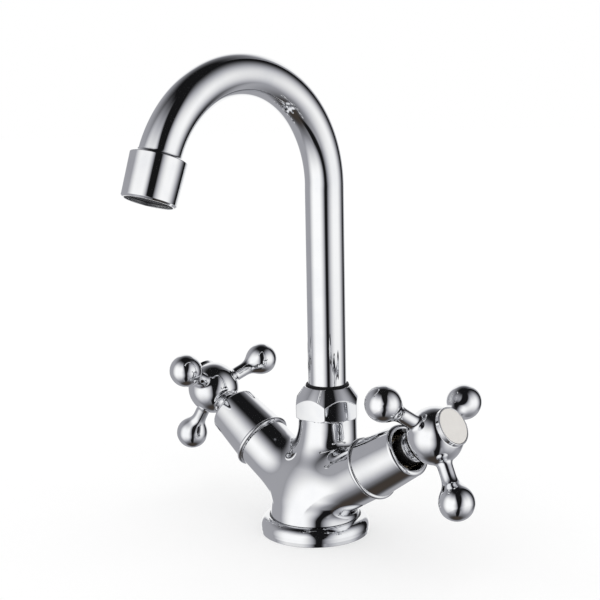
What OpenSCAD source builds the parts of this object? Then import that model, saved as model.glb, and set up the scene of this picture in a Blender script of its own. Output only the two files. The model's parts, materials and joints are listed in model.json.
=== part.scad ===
// Basin mixer tap with a swivel gooseneck spout and two three-ball cross handles.
// Millimetres, +Z up. The origin is the middle of the underside, on the basin's deck.
// The spout points to -Y, the hot valve to -X and the cold valve to +X.

/* [Body casting] */
// Diameter of the upright column
column_d = 43.8; // [42:0.2:48]
// Height at which the two valve axes cross the middle of the column
valve_z = 16.05; // [15:0.05:20]
// Height of the column's straight side, up to where its shoulder starts
column_h = 16; // [14:0.5:22]
// How far the valve axes rise above level, in degrees
valve_angle = 31.24; // [28:0.02:34]
// How far each valve axis leans back, in degrees
arm_sweep = 1.15; // [0:0.05:3]
// Diameter of the arms that carry the valves
arm_d = 27.7; // [27:0.1:29.5]
// Length of an arm along its axis, from the middle of the column to the shroud's seat
arm_len = 41.9; // [40:0.1:46]
// Threaded end of an arm inside the shroud
arm_spigot_h = 4.1; // [3:0.1:5]
// Wall of that threaded end, round the valve chamber
spigot_wall = 1.8; // [1.5:0.1:2]
// Depth of the valve chamber, from the end of the arm
chamber_depth = 25; // [24:0.5:26]
// Diameter of the valve chamber
chamber_d = 20.6; // [20.2:0.1:21]
// Diameter of the neck under the spout nut
neck_d = 29; // [27:0.1:29.6]
// How far the neck's axis lies behind the column's
neck_back = 10.35; // [8:0.05:12]
// Height of the neck's shoulder, which the spout nut sits on
neck_top_z = 56; // [54:0.5:62]
// Where the sloping shoulder of the casting runs out into the neck
shoulder_top_z = 50; // [44:0.5:52]
// Threaded end of the neck inside the spout nut
neck_spigot_h = 5.5; // [4.5:0.1:6.5]
// Step from the neck down to its threaded end
neck_step = 1.4; // [0.7:0.1:1.8]
// Bore in the neck that the spout's tail turns in
neck_bore_d = 21; // [20.6:0.1:21.4]
// Diameter of the water passages
passage_d = 4.4; // [3:0.1:5]

/* [Deck fixings] */
// Tapping bore of the M8 fixing stud
stud_bore_d = 6.7; // [6:0.1:7.2]
// Depth of the fixing stud's bore
stud_bore_depth = 14; // [10:0.5:15]
// Tapping bore of the M10x1 flexible tails
inlet_bore_d = 8.92; // [8:0.02:9.4]
// Depth of the inlets' threads
inlet_bore_depth = 14; // [10:0.5:15]
// Distance from the middle to each inlet
inlet_x = 10; // [9.5:0.1:11]

/* [Base ring] */
// How far the base ring stands out from the column
ring_out = 4.6; // [3.2:0.1:7]
// How far its foot stands out from the column
ring_foot_out = 4; // [3:0.1:4.2]
// Height of its crest
ring_h = 8.4; // [8:0.1:12]
// Height of its widest place
ring_waist_z = 1.7; // [1.5:0.1:3]
// Width of the crest, from the column out to where the ring rounds over
crest_w = 1.1; // [0.8:0.1:2.4]
// Depth of the groove between the crest and the column
crest_groove = 2.1; // [1:0.1:3]
// Width of the gasket under the ring
gasket_w = 1.8; // [1:0.1:2]
// Height of the gasket
gasket_h = 1.5; // [1:0.1:2]

/* [Spout] */
// Outside diameter of the spout tube
tube_d = 19; // [17:0.1:19.4]
// Wall of the spout tube
tube_wall = 1; // [0.8:0.1:1.4]
// Height at which the straight tube starts to bend
bend_z = 169.2; // [120:0.2:240]
// Radius of the bend, at the middle of the tube
bend_r = 52.8; // [45:0.2:70]
// Angle of the bend, in degrees
bend_angle = 160; // [150:1:170]
// Length of the tube inside the tail, below the tail's collar
tube_insert = 4.05; // [3:0.05:5]
// Lower end of the tail, above the floor of the neck's bore
tail_lift = 2; // [1:0.5:5]
// Floor of the neck's bore
neck_floor_z = 40; // [39:0.5:43]
// Thickness of the tail's collar
collar_h = 1.35; // [1:0.05:2]
// How far the tail's collar stands in from the outside of the neck's threaded end
collar_step = 0.7; // [0.4:0.1:1]
// Wall of the tail below the tube
tail_wall = 3; // [2.8:0.1:3.6]
// Thickness of a spout seal
spout_seal_d = 1.45; // [1.2:0.05:1.6]
// Distance between the two spout seals
spout_seal_pitch = 6; // [4:0.5:7]
// Thickness of the thrust washer under the collar
thrust_h = 0.5; // [0.4:0.1:0.8]

/* [Spout nut] */
// Size of the nut across its flats
nut_af = 29.9; // [29:0.1:32]
// Height of the nut
nut_h = 15.25; // [14.5:0.05:17]
// Height of the nut's corners, below its long bevel
nut_corner_h = 6.8; // [5:0.1:9]
// Chamfer at the foot of the nut's corners
nut_foot = 1.2; // [0.6:0.1:1.6]
// Turn of the nut about its axis, in degrees
nut_turn = 6.8; // [0:0.1:60]
// Rim of the nut's top face, round the slip ring
nut_rim = 0.65; // [0.4:0.05:1.2]
// Wall of the slip ring's sleeve, which shows in the nut's top
slip_wall = 1.02; // [0.8:0.01:1.2]
// How far that sleeve stands out of the nut
slip_stand = 1; // [0.2:0.1:1.6]
// Thickness of the slip ring's flange
slip_flange_h = 1.15; // [0.8:0.05:1.5]

/* [Outlet] */
// Length of the outlet nose
nose_len = 19.6; // [17:0.1:26]
// Diameter of the nose at the tube
nose_top_d = 25.1; // [24.8:0.1:28]
// Diameter of the nose at its mouth
nose_mouth_d = 24.1; // [24:0.1:26]
// Bevel round the mouth
nose_bevel = 0.8; // [0.4:0.1:1]
// Wall of the nose at its mouth, round the aerator
nose_wall = 1.55; // [1.4:0.05:1.8]
// Depth of the socket that the tube is brazed into
tube_socket = 4.5; // [3:0.5:6]
// How much the tube's end is turned down for its socket
socket_cut = 0.1; // [0.05:0.05:0.2]
// Web between the socket and the aerator's washer
nose_web = 1.5; // [1:0.1:2]
// Thickness of the aerator's washer
nose_washer_h = 1.5; // [1:0.1:2]
// How far the aerator stops short of the mouth
nose_recess = 1.2; // [0.5:0.1:2]
// Thickness of the aerator's screen
screen_h = 0.6; // [0.4:0.1:1]
// Distance between the screen's bars
screen_pitch = 2.2; // [1.8:0.1:3]
// Width of a bar of the screen
screen_bar = 0.6; // [0.4:0.1:0.8]

/* [Shrouds] */
// Length of a shroud, from the arm to its mouth
shroud_len = 26.6; // [26:0.2:30]
// Diameter of the shroud beside its bead
shroud_foot_d = 28.8; // [28:0.1:30]
// Diameter of the shroud at its mouth
shroud_mouth_d = 25.4; // [24.6:0.1:26]
// Largest diameter of the bead at its foot
bead_d = 30.9; // [30.4:0.1:33]
// Thickness of the bead
bead_h = 2.3; // [1.8:0.1:3]
// Rounding of the mouth's rolled lip
lip_r = 1.7; // [1:0.1:2]
// Wall of the shroud at its mouth, from the lip to the straight bore
mouth_wall = 3.6; // [3:0.1:4]
// Depth of the funnel inside the lip
funnel_h = 2.4; // [1.5:0.1:3.5]
// How far the funnel widens towards the lip
funnel_w = 1.3; // [0.8:0.1:1.8]
// Room past the cartridge's hexagon, before the bore narrows
hex_room = 1; // [0.5:0.1:3]

/* [Valve cartridges] */
// Thickness of the seal on the chamber's floor
seat_h = 2.6; // [2:0.1:3]
// Thickness of the fixed ceramic disc
fixed_h = 2.4; // [2:0.1:3]
// Thickness of the turning ceramic disc
moving_h = 2.95; // [2.6:0.05:3.4]
// Diameter of the ceramic discs
disc_d = 15.8; // [15:0.1:15.8]
// Diameter of each disc's two water holes
port_d = 4.4; // [3.6:0.1:4.8]
// Distance from a disc's middle to its water holes
port_x = 4.3; // [4:0.1:4.6]
// Wall of the skirt round the discs
skirt_wall = 0.95; // [0.9:0.05:1.2]
// Width of the skirt's two water windows
window_w = 6; // [4:0.5:8]
// Height of the spindle's foot, above the turning disc
foot_h = 4; // [3:0.1:4.5]
// Thickness of the washer under the cartridge's hexagon
bonnet_washer_h = 0.8; // [0.5:0.1:1.2]
// Size of the cartridge's hexagon across its flats
cartridge_af = 20.4; // [19:0.1:20.6]
// Height of the cartridge's hexagon
cartridge_hex_h = 4.5; // [3.5:0.1:5]
// Diameter of the cartridge's neck
cartridge_neck_d = 14.4; // [13:0.1:15]
// Length of the cartridge's neck, above its hexagon
cartridge_neck_h = 10.2; // [9:0.1:11]
// Diameter of the spindle
spindle_d = 9.8; // [9:0.1:10.4]
// Thickness of a spindle seal
spindle_seal_d = 1.4; // [1.2:0.05:1.6]
// Distance between the two spindle seals
spindle_seal_pitch = 5; // [3:0.5:6]
// Thickness of the circlip
circlip_h = 0.8; // [0.6:0.1:1]
// Outside diameter of the circlip
circlip_d = 12.6; // [12:0.1:13]
// Outside diameter of the spindle's splined end
spline_d = 7.8; // [7:0.1:8]
// Number of splines
spline_count = 20; // [12:1:24]

/* [Handles] */
// Distance from the shroud's mouth to the middle of the hub
hub_stand = 17.2; // [17:0.1:20]
// Diameter of the round hub
hub_d = 26.8; // [25.6:0.1:28]
// Distance from the middle of the hub to the middle of each ball
ball_reach = 31.5; // [29:0.1:34]
// Diameter of the balls
ball_d = 16.6; // [14:0.1:17.4]
// Diameter of the spokes
spoke_d = 7.2; // [5.5:0.1:8]
// Hollow curve that carries a spoke into its ball
ball_fillet = 5; // [3:0.5:6]
// Hollow curve that carries a spoke into the hub
hub_fillet = 1; // [0.6:0.1:1.6]
// Turn of the cold handle when shut, in degrees
cold_phase = 108.9; // [0:0.1:120]
// Turn of the hot handle when shut, in degrees
hot_phase = 63.7; // [0:0.1:120]
// Diameter of the hub's tail, which goes down into the shroud
hub_tail_d = 14.6; // [14:0.1:17]
// How far the tail stops above the circlip
hub_tail_gap = 3; // [0.6:0.1:3.5]
// Diameter of the index cup on the end of the hub
index_d = 18.3; // [17:0.1:19]
// How far the index cup stands out of the hub
index_h = 2.1; // [1.6:0.1:3]
// Rim of the index cup round its pale disc
index_rim = 0.8; // [0.6:0.1:1.4]
// Thickness of the pale disc
index_disc_h = 1.1; // [0.8:0.1:1.4]
// Diameter of the cup's plug in the hub
index_plug_d = 13.8; // [12:0.1:14.4]
// Diameter of the handle screw
screw_d = 3.9; // [3.5:0.1:4]
// Diameter of the screw's head
screw_head_d = 7; // [6.4:0.1:7.6]
// Height of the screw's head
screw_head_h = 2.1; // [1.6:0.1:2.4]
// Length of the screw in the spindle
screw_len = 8; // [6:0.5:9]

/* [Fits] */
// Gap round a piece that turns in a bore
running_gap = 0.08; // [0.05:0.01:0.1]
// Gap between the flanks of a thread
thread_gap = 0.1; // [0.05:0.01:0.2]
// Gap between faces that slide on each other
face_gap = 0.05; // [0.02:0.01:0.1]
// Gap round a piece that is pushed home by hand
push_gap = 0.05; // [0.02:0.01:0.1]
// Gap round a seal in its groove
seal_gap = 0.03; // [0.02:0.01:0.05]

/* [Hidden] */
$fn = 96;

// Extra length of a cutting tool past the face that it cuts
past = 1;
// Sides of the circles in the casting's sloping shoulder
blend_sides = 32;
// Stations up the sloping shoulder: share of its height, and share of the way from column to neck
blend_stations = [[0, 0], [0.22, 0.17], [0.78, 0.83], [1, 1]];
// How far outside the nut's corners its long bevel starts
bevel_start = 0.1;
hot = -1;
cold = 1;

column_r = column_d / 2;
arm_r = arm_d / 2;
neck_r = neck_d / 2;
chamber_r = chamber_d / 2;
neck_bore_r = neck_bore_d / 2;
neck_spigot_r = neck_r - neck_step;
tube_r = tube_d / 2;
tube_bore_r = tube_r - tube_wall;
ring_r = column_r + ring_out;
ring_foot_r = column_r + ring_foot_out;
slip_r = tube_r + running_gap + slip_wall;
collar_r = neck_spigot_r - collar_step;

// Heights up the neck
spigot_top_z = neck_top_z + neck_spigot_h;
collar_z = spigot_top_z + thrust_h + face_gap;
collar_top_z = collar_z + collar_h;
tube_foot_z = collar_z - tube_insert;
slip_z = collar_top_z + face_gap;
slip_top_z = slip_z + slip_flange_h;
nut_top_z = neck_top_z + nut_h;
tail_z = neck_floor_z + tail_lift;
tail_r = neck_bore_r - running_gap;

// Distances along a valve axis, from the middle of the column
spigot_end_t = arm_len + arm_spigot_h;
arm_spigot_r = chamber_r + spigot_wall;
floor_t = spigot_end_t - chamber_depth;
fixed_t = floor_t + seat_h;
moving_t = fixed_t + fixed_h + face_gap;
foot_t = moving_t + moving_h + face_gap;
foot_top_t = foot_t + foot_h;
cartridge_shoulder_t = foot_top_t + 2 * face_gap;
hex_t = spigot_end_t + bonnet_washer_h;
hex_top_t = hex_t + cartridge_hex_h;
neck_end_t = hex_top_t + cartridge_neck_h;
circlip_t = neck_end_t + 2 * face_gap;
circlip_top_t = circlip_t + circlip_h;
hub_tail_t = circlip_top_t + hub_tail_gap;
mouth_t = arm_len + shroud_len;
hub_t = mouth_t + hub_stand;

hub_r = hub_d / 2;
index_r = index_d / 2;
index_seat_t = hub_t + sqrt(hub_r * hub_r - index_r * index_r);
index_top_t = index_seat_t + index_h;
// The web in the hub that the screw pulls on, and the plug's seat above the screw's head
web_t = hub_t + 1.5;
web_top_t = web_t + 2;
plug_t = web_top_t + screw_head_h + 0.2;
spindle_end_t = web_t - 0.2;
disc_r = disc_d / 2;
skirt_bore_r = disc_r + push_gap;
skirt_r = skirt_bore_r + skirt_wall;
cartridge_thread_r = chamber_r - thread_gap;
spindle_r = spindle_d / 2;
spindle_bore_r = spindle_r + running_gap;
spindle_groove_r = spindle_bore_r - spindle_seal_d - 2 * seal_gap;
spout_groove_r = neck_bore_r - spout_seal_d - 2 * seal_gap;
circlip_groove_r = spindle_r - 0.7;

// Distances down the outlet, from the end of the bend
nose_mouth_s = nose_len - 0.5;
nose_web_s = tube_socket;
washer_s = nose_web_s + nose_web;
aerator_s = washer_s + nose_washer_h;
aerator_end_s = nose_mouth_s - nose_recess;
nose_bore_r = nose_mouth_d / 2 - nose_wall;
aerator_r = nose_bore_r - thread_gap;
aerator_wall = 1.2;
screen_s = aerator_end_s - screen_h - 0.3;

// Frame of a valve: its Z runs out along the valve's axis
module valve_frame(side) {
  translate([0, 0, valve_z])
    rotate([0, 0, side * arm_sweep])
      rotate([0, side * (90 - valve_angle), 0])
        children();
}

// Frame of the outlet: its Z runs with the water, from the end of the bend
module outlet_frame() {
  translate([0, neck_back - bend_r, bend_z])
    rotate([bend_angle, 0, 0])
      translate([0, bend_r, 0])
        children();
}

// Frame of the neck, on the neck's axis
module neck_frame() {
  translate([0, neck_back, 0]) children();
}

// Round bar between two heights
module bar(r, from, to) {
  translate([0, 0, from]) cylinder(r = r, h = to - from);
}

// Round ring between two heights
module ring(outer_r, inner_r, from, to) {
  difference() {
    bar(outer_r, from, to);
    bar(inner_r, from - past, to + past);
  }
}

// Round sealing ring lying between a groove and a bore
module seal_ring(thick, bore_r, height) {
  translate([0, 0, height])
    rotate_extrude()
      translate([bore_r - seal_gap - thick / 2, 0])
        circle(r = thick / 2, $fn = 24);
}

// Straight hole from one point to another
module drilled(from, to, d) {
  run = to - from;
  len = norm(run);
  translate(from)
    rotate([0, acos(run[2] / len), atan2(run[1], run[0])])
      cylinder(d = d, h = len);
}

// Six-sided bar across its flats
module hexagon(af, from, to) {
  translate([0, 0, from]) cylinder(d = af / cos(30), h = to - from, $fn = 6);
}

// Hollow curve from a spoke into a ball, with the ball's middle at the origin
// and the spoke coming down from +Z
module ball_blend(ball_r, rod_r, curve_r) {
  out = rod_r + curve_r;
  reach = sqrt(pow(ball_r + curve_r, 2) - out * out);
  share = ball_r / (ball_r + curve_r);
  rotate_extrude()
    difference() {
      translate([0, reach * share]) square([out * share, reach * (1 - share)]);
      translate([out, reach]) circle(r = curve_r);
    }
}

// Place on a valve axis, off to its upper side, in the tap's own frame
function on_valve(side, t, up) = [
  side * (t * cos(valve_angle) - up * sin(valve_angle)),
  t * cos(valve_angle) * sin(arm_sweep),
  valve_z + t * sin(valve_angle) + up * cos(valve_angle)
];

// One sloping stretch of the casting between two circles, each [height, back, radius]
module slope(low, high) {
  hull() {
    translate([0, low[1], low[0]]) cylinder(r = low[2], h = 0.1, $fn = blend_sides);
    translate([0, high[1], high[0] - 0.1]) cylinder(r = high[2], h = 0.1, $fn = blend_sides);
  }
}

module casting_outside() {
  foot = [column_h - 2, 0, column_r - 0.3];
  top = [shoulder_top_z, neck_back, neck_r - 0.15];
  circles = [
    for (s = blend_stations)
      [foot[0] + (top[0] - foot[0]) * s[0], top[1] * s[1], foot[2] + (top[2] - foot[2]) * s[1]]
  ];
  bar(column_r, 0, column_h);
  for (k = [1:len(circles) - 1]) slope(circles[k - 1], circles[k]);
  neck_frame() bar(neck_r, shoulder_top_z - 4, neck_top_z);
  neck_frame() bar(neck_spigot_r, neck_top_z, spigot_top_z);
  for (side = [hot, cold]) {
    valve_frame(side) bar(arm_r, 0, arm_len);
    valve_frame(side) bar(arm_spigot_r, arm_len, spigot_end_t);
  }
}

// Water comes up each inlet, out to its valve, and back through the upper passage to the neck
module casting_waterways() {
  riser_top = on_valve(cold, 0, 0)[2] + inlet_x * tan(valve_angle);
  bar(stud_bore_d / 2, -past, stud_bore_depth);
  neck_frame() bar(neck_bore_r, neck_floor_z, spigot_top_z + past);
  neck_frame() bar(neck_bore_r - 2.5, neck_floor_z - 9, neck_floor_z + past);
  for (side = [hot, cold]) {
    translate([side * inlet_x, 0, 0]) bar(inlet_bore_d / 2, -past, inlet_bore_depth);
    translate([side * inlet_x, 0, 0]) bar(passage_d / 2, inlet_bore_depth - past, riser_top);
    drilled([side * inlet_x, 0, riser_top - 1], on_valve(side, floor_t + 0.5, 0), passage_d);
    valve_frame(side) bar(chamber_r, floor_t, spigot_end_t + past);
    drilled(
      on_valve(side, floor_t + 4, chamber_r - 2),
      [side * 5, neck_back - 2.5, neck_floor_z - 7],
      passage_d
    );
  }
}

module body_casting() {
  color("gainsboro")
    difference() {
      casting_outside();
      casting_waterways();
    }
}

// Half section of the base ring: foot, bulging side, crest, and groove beside the column
module ring_section() {
  crest_r = column_r + crest_w;
  bulge = ring_r - crest_r;
  rise = ring_h - ring_waist_z;
  inner_r = column_r + push_gap;
  polygon([
    [inner_r, 0],
    [ring_foot_r, 0],
    [ring_r, ring_waist_z * 0.75],
    for (a = [0:7.5:90]) [crest_r + bulge * cos(a), ring_waist_z + rise * sin(a)],
    for (a = [15:15:75]) [crest_r - crest_w * 0.8 * sin(a), ring_h - crest_groove * (1 - cos(a))],
    [inner_r, ring_h - crest_groove]
  ]);
}

module gasket_groove(gap) {
  middle_r = (column_r + ring_foot_r) / 2;
  ring(middle_r + gasket_w / 2 + gap, middle_r - gasket_w / 2 - gap, gap > 0 ? -past : 0, gasket_h + gap);
}

module base_ring() {
  color("gainsboro")
    difference() {
      rotate_extrude() ring_section();
      gasket_groove(push_gap);
    }
}

module base_gasket() {
  color("dimgray") gasket_groove(0);
}

module spout_nut() {
  corner_z = neck_top_z + nut_corner_h;
  corner_r = nut_af / 2 / cos(30);
  top_r = slip_r + push_gap + nut_rim;
  color("gainsboro")
    neck_frame()
      difference() {
        intersection() {
          rotate([0, 0, nut_turn]) hexagon(nut_af, neck_top_z, nut_top_z);
          union() {
            translate([0, 0, neck_top_z])
              cylinder(r1 = corner_r - nut_foot, r2 = corner_r + past, h = nut_foot + past);
            bar(corner_r + past, neck_top_z + nut_foot + past, corner_z);
            translate([0, 0, corner_z])
              cylinder(r1 = corner_r + bevel_start, r2 = top_r, h = nut_top_z - corner_z);
          }
        }
        bar(neck_spigot_r + thread_gap, neck_top_z - past, slip_top_z + face_gap);
        bar(slip_r + push_gap, neck_top_z, nut_top_z + past);
      }
}

module slip_ring() {
  color("black")
    neck_frame() {
      ring(neck_spigot_r - push_gap, tube_r + running_gap, slip_z, slip_top_z);
      ring(slip_r, tube_r + running_gap, slip_z, nut_top_z + slip_stand);
    }
}

module thrust_washer() {
  color("whitesmoke")
    neck_frame() ring(neck_spigot_r - push_gap, tail_r + 2 * running_gap, spigot_top_z, spigot_top_z + thrust_h);
}

module tube_section() {
  difference() {
    circle(r = tube_r);
    circle(r = tube_bore_r);
  }
}

module spout_tube() {
  color("gainsboro") {
    neck_frame() ring(tube_r, tube_bore_r, tube_foot_z, bend_z);
    translate([0, neck_back - bend_r, bend_z])
      rotate([90, 0, 90])
        rotate_extrude(angle = bend_angle)
          translate([bend_r, 0])
            tube_section();
    outlet_frame() ring(tube_r - socket_cut, tube_bore_r + socket_cut, -past, tube_socket - push_gap);
  }
}

module spout_tail() {
  color("goldenrod")
    neck_frame()
      difference() {
        union() {
          bar(tail_r, tail_z, collar_top_z);
          bar(collar_r, collar_z, collar_top_z);
        }
        bar(tail_r - tail_wall, tail_z - past, tube_foot_z + past);
        bar(tube_r + push_gap, tube_foot_z, collar_top_z + past);
        for (k = [0, 1])
          ring(
            neck_bore_r + past, spout_groove_r,
            tail_z + 3 + k * spout_seal_pitch, tail_z + 3 + k * spout_seal_pitch + spout_seal_d + 0.4
          );
      }
}

module spout_seals() {
  color("black")
    neck_frame()
      for (k = [0, 1])
        seal_ring(spout_seal_d, neck_bore_r, tail_z + 3.2 + k * spout_seal_pitch + spout_seal_d / 2);
}

module outlet_nose() {
  top_s = nose_mouth_s - nose_len;
  mouth_r = nose_mouth_d / 2;
  color("gainsboro")
    outlet_frame()
      difference() {
        rotate_extrude()
          polygon([
            [0, top_s],
            [nose_top_d / 2 - 0.4, top_s],
            [nose_top_d / 2, top_s + 0.4],
            [mouth_r, nose_mouth_s - nose_bevel],
            [mouth_r - nose_bevel, nose_mouth_s],
            [0, nose_mouth_s]
          ]);
        bar(tube_r + push_gap, top_s - past, nose_web_s);
        bar(tube_bore_r, top_s, nose_mouth_s + past);
        bar(nose_bore_r, washer_s, nose_mouth_s + past);
      }
}

module aerator_washer() {
  color("black") outlet_frame() ring(aerator_r, tube_bore_r - 1, washer_s, aerator_s);
}

// Cup with a ring of jets through its floor
module aerator_body() {
  jet_count = 10;
  color("lightgray")
    outlet_frame()
      difference() {
        bar(aerator_r, aerator_s, aerator_end_s);
        bar(aerator_r - aerator_wall, aerator_s + 2, aerator_end_s + past);
        for (k = [0:jet_count - 1])
          rotate([0, 0, k * 360 / jet_count])
            translate([4.6, 0, 0])
              bar(0.9, aerator_s - past, aerator_s + 3);
      }
}

// Rim with bars both ways
module aerator_screen() {
  screen_r = aerator_r - aerator_wall - push_gap;
  count = floor((screen_r - 1.2) / screen_pitch);
  color("darkgray")
    outlet_frame() {
      ring(screen_r, screen_r - 1, screen_s, screen_s + screen_h);
      intersection() {
        bar(screen_r - 0.5, screen_s, screen_s + screen_h);
        union()
          for (turn = [0, 90], k = [-count:count])
            rotate([0, 0, turn])
              translate([-screen_r, k * screen_pitch - screen_bar / 2, screen_s])
                cube([2 * screen_r, screen_bar, screen_h]);
      }
    }
}

module shroud(side) {
  mouth_r = shroud_mouth_d / 2;
  foot_r = shroud_foot_d / 2;
  bead_mid = arm_len + bead_h / 2;
  spigot_bore_r = arm_spigot_r + thread_gap;
  color("gainsboro")
    valve_frame(side)
      difference() {
        union() {
          translate([0, 0, arm_len])
            cylinder(r1 = foot_r, r2 = mouth_r, h = shroud_len - lip_r);
          rotate_extrude() translate([bead_d / 2 - bead_h / 2, bead_mid]) circle(r = bead_h / 2, $fn = 48);
          bar(bead_d / 2 - bead_h / 2, arm_len, arm_len + bead_h);
          rotate_extrude() translate([mouth_r - lip_r, mouth_t - lip_r]) circle(r = lip_r, $fn = 48);
          bar(mouth_r - lip_r, mouth_t - lip_r - past, mouth_t);
        }
        bar(spigot_bore_r, arm_len - past, hex_top_t + hex_room);
        bar(mouth_r - mouth_wall, arm_len, mouth_t + past);
        translate([0, 0, mouth_t - funnel_h])
          cylinder(
            r1 = mouth_r - mouth_wall,
            r2 = mouth_r - mouth_wall + funnel_w * (funnel_h + past) / funnel_h,
            h = funnel_h + past
          );
      }
}

module seat_seal(side) {
  color("black") valve_frame(side) ring(disc_r, disc_r - 1.4, floor_t, fixed_t);
}

module bonnet_washer(side) {
  color("dimgray")
    valve_frame(side) ring(arm_spigot_r, cartridge_thread_r + push_gap, spigot_end_t, hex_t);
}

// Two water holes across a disc
module ports(turn, from, to) {
  for (k = [0, 180])
    rotate([0, 0, turn + k])
      translate([port_x, 0, 0])
        bar(port_d / 2, from - past, to + past);
}

module fixed_disc(side) {
  color("white")
    valve_frame(side)
      difference() {
        bar(disc_r, fixed_t, fixed_t + fixed_h);
        ports(0, fixed_t, fixed_t + fixed_h);
      }
}

// The tongue on the spindle's foot lies in this slot of the turning disc
module drive_key(gap, from, to) {
  width = 2.6 + 2 * gap;
  length = disc_d - 4 + 2 * gap;
  translate([-length / 2, -width / 2, from]) cube([length, width, to - from]);
}

module moving_disc(side) {
  top_t = moving_t + moving_h;
  color("ivory")
    valve_frame(side)
      difference() {
        bar(disc_r - push_gap, moving_t, top_t);
        ports(90, moving_t, top_t);
        drive_key(push_gap, top_t - 1.2, top_t + past);
      }
}

module cartridge(side) {
  color("goldenrod")
    valve_frame(side)
      difference() {
        union() {
          bar(skirt_r, fixed_t - 0.2, cartridge_shoulder_t);
          bar(cartridge_thread_r, cartridge_shoulder_t, hex_t);
          hexagon(cartridge_af, hex_t, hex_top_t);
          bar(cartridge_neck_d / 2, hex_top_t, neck_end_t);
        }
        bar(skirt_bore_r, floor_t, cartridge_shoulder_t);
        bar(spindle_bore_r, floor_t, neck_end_t + past);
        translate([-skirt_r - past, -window_w / 2, moving_t + 0.5])
          cube([2 * (skirt_r + past), window_w, cartridge_shoulder_t - moving_t - 1.5]);
      }
}

// Outline of the splines: points in and out in turn
module spline_outline(r) {
  depth = 0.4;
  polygon([
    for (k = [0:2 * spline_count - 1])
      (r - (k % 2) * depth) * [cos(k * 180 / spline_count), sin(k * 180 / spline_count)]
  ]);
}

module spline_bar(r, from, to) {
  translate([0, 0, from]) linear_extrude(to - from) spline_outline(r);
}

module spindle(side) {
  shoulder_t = circlip_top_t + hub_tail_gap - 0.2;
  seal_t = cartridge_shoulder_t + 3;
  color("goldenrod")
    valve_frame(side)
      difference() {
        union() {
          drive_key(0, foot_t - 1.1, foot_t + past);
          bar(disc_r - 0.4, foot_t, foot_top_t);
          bar(spindle_r, foot_t, shoulder_t);
          spline_bar(spline_d / 2, shoulder_t - past, spindle_end_t);
        }
        for (k = [0, 1])
          ring(
            spindle_r + past, spindle_groove_r,
            seal_t + k * spindle_seal_pitch, seal_t + k * spindle_seal_pitch + spindle_seal_d + 0.4
          );
        ring(spindle_r + past, circlip_groove_r, circlip_t - face_gap, circlip_top_t + face_gap);
        bar(screw_d / 2 + push_gap, spindle_end_t - screw_len - past, spindle_end_t + past);
      }
}

module spindle_seals(side) {
  seal_t = cartridge_shoulder_t + 3.2 + spindle_seal_d / 2;
  color("black")
    valve_frame(side)
      for (k = [0, 1])
        seal_ring(spindle_seal_d, spindle_bore_r, seal_t + k * spindle_seal_pitch);
}

// Split ring in the spindle's groove
module circlip(side) {
  color("silver")
    valve_frame(side)
      difference() {
        ring(circlip_d / 2, circlip_groove_r + push_gap, circlip_t, circlip_top_t);
        translate([0, -1.5, circlip_t - past]) cube([circlip_d, 3, circlip_h + 2 * past]);
      }
}

module spoke(turn) {
  ball_r = ball_d / 2;
  rod_r = spoke_d / 2;
  translate([0, 0, hub_t])
    rotate([0, 90, turn]) {
      bar(rod_r, 0, ball_reach);
      translate([0, 0, ball_reach]) sphere(r = ball_r);
      translate([0, 0, ball_reach]) mirror([0, 0, 1]) ball_blend(ball_r, rod_r, ball_fillet);
      ball_blend(hub_r, rod_r, hub_fillet);
    }
}

module handle(side, phase) {
  tail_r = hub_tail_d / 2;
  color("gainsboro")
    valve_frame(side)
      difference() {
        union() {
          translate([0, 0, hub_t]) sphere(r = hub_r);
          bar(tail_r, hub_tail_t, hub_t);
          for (k = [0:2]) spoke(phase + 120 * k);
        }
        spline_bar(spline_d / 2 + push_gap, hub_tail_t - past, web_t);
        bar(screw_d / 2 + 2 * push_gap, web_t - past, hub_t + hub_r);
        bar(screw_head_d / 2 + 0.2, web_top_t, hub_t + hub_r);
        bar(index_plug_d / 2 + push_gap, plug_t, hub_t + hub_r);
        bar(hub_r, index_seat_t, hub_t + hub_r + past);
      }
}

module handle_screw(side) {
  color("silver")
    valve_frame(side)
      difference() {
        union() {
          bar(screw_d / 2, spindle_end_t - screw_len, web_top_t + past);
          bar(screw_head_d / 2, web_top_t, web_top_t + screw_head_h);
        }
        for (turn = [0, 90])
          rotate([0, 0, turn])
            translate([-2, -0.5, web_top_t + screw_head_h - 1.2])
              cube([4, 1, 2]);
      }
}

module index_cup(side) {
  color("gainsboro")
    valve_frame(side)
      difference() {
        union() {
          bar(index_plug_d / 2, plug_t, index_seat_t + past);
          bar(index_r, index_seat_t, index_top_t);
        }
        bar(index_plug_d / 2 - 1.2, plug_t - past, index_seat_t - 0.3);
        bar(index_r - index_rim, index_top_t - index_disc_h, index_top_t + past);
      }
}

module index_disc(side) {
  color("ivory")
    valve_frame(side) bar(index_r - index_rim - push_gap, index_top_t - index_disc_h, index_top_t);
}

body_casting();
base_ring();
base_gasket();
spout_nut();
slip_ring();
thrust_washer();
spout_tube();
spout_tail();
spout_seals();
outlet_nose();
aerator_washer();
aerator_body();
aerator_screen();
shroud(hot);  // hot_shroud
shroud(cold);  // cold_shroud
cartridge(hot);  // hot_cartridge
cartridge(cold);  // cold_cartridge
seat_seal(hot);  // hot_seat_seal
seat_seal(cold);  // cold_seat_seal
fixed_disc(hot);  // hot_fixed_disc
fixed_disc(cold);  // cold_fixed_disc
bonnet_washer(hot);  // hot_bonnet_washer
bonnet_washer(cold);  // cold_bonnet_washer
moving_disc(hot);  // hot_moving_disc
moving_disc(cold);  // cold_moving_disc
spindle(hot);  // hot_spindle
spindle(cold);  // cold_spindle
spindle_seals(hot);  // hot_spindle_seals
spindle_seals(cold);  // cold_spindle_seals
circlip(hot);  // hot_circlip
circlip(cold);  // cold_circlip
handle(hot, hot_phase);  // hot_handle
handle(cold, cold_phase);  // cold_handle
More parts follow.
